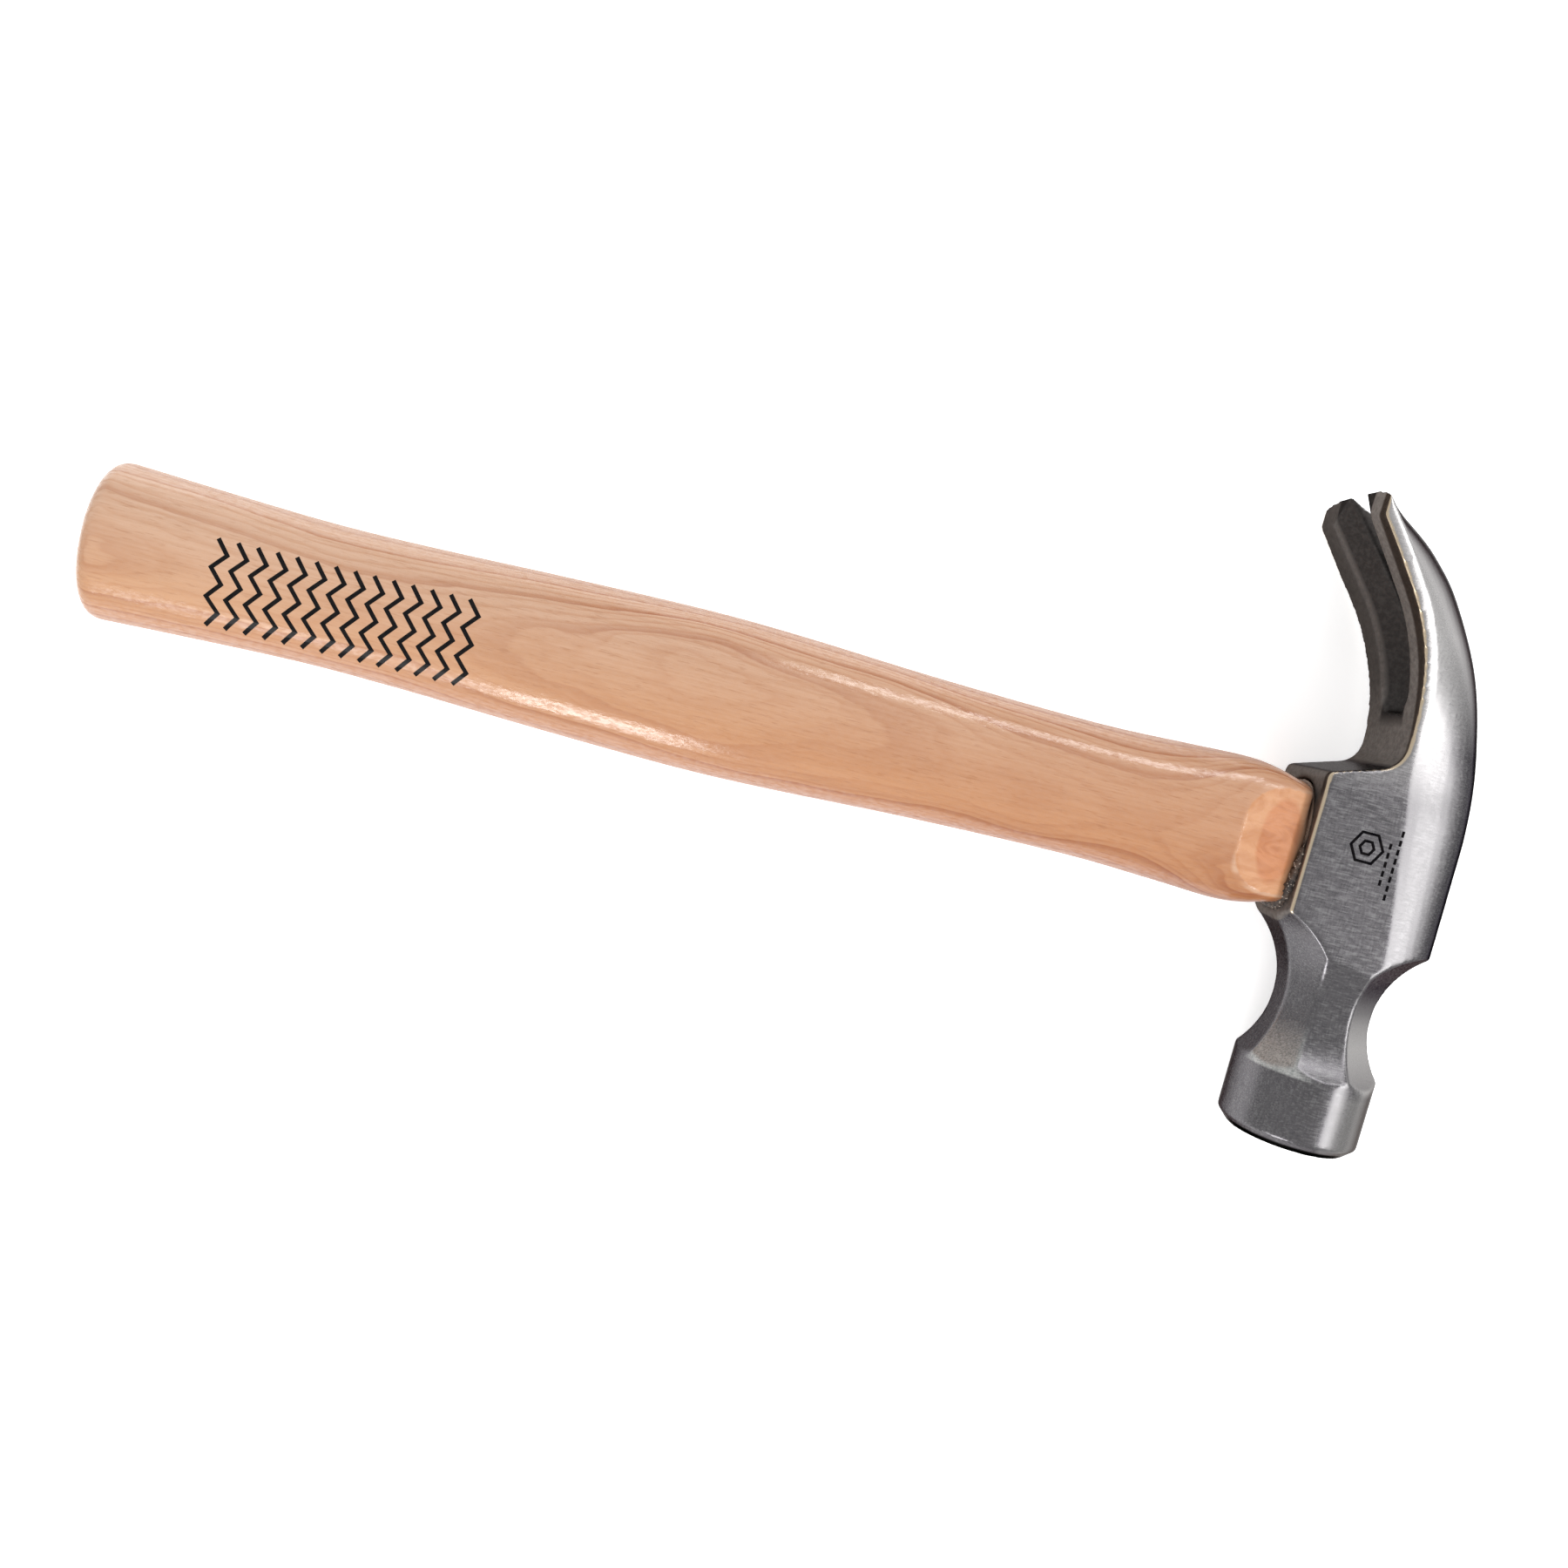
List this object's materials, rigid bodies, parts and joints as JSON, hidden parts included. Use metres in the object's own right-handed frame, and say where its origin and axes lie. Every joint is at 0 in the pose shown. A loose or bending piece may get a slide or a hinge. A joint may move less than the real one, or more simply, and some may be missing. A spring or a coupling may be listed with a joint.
{
  "type": "claw hammer",
  "caption": "Claw hammer: forged steel head with a flat round striking face, an octagonal neck and a split curved claw, wedged onto a straight oval wooden handle.",
  "frame": {"origin": "under the middle of the hammer's box, on the surface that it lies on, cheek up", "axes": "+X along the handle from the butt to the head, +Y along the head from the striking face to the claw, +Z out of the upper cheek"},
  "size_m": [0.2874, 0.1342, 0.0317],
  "materials": {
    "forged_steel": "ground satin steel with fine cross scratches, clear oiled",
    "lacquered_wood": "pale hardwood under gloss lacquer",
    "wedge_wood": "raw sawn wood",
    "wedge_steel": "plain mild steel",
    "adhesive": "dark gritty adhesive"
  },
  "bodies": {
    "root": {"hammer_head": "forged_steel", "handle": "lacquered_wood", "wood_wedge": "wedge_wood", "steel_wedge_1": "wedge_steel", "steel_wedge_2": "wedge_steel", "eye_adhesive": "adhesive"}
  },
  "joints": []
}
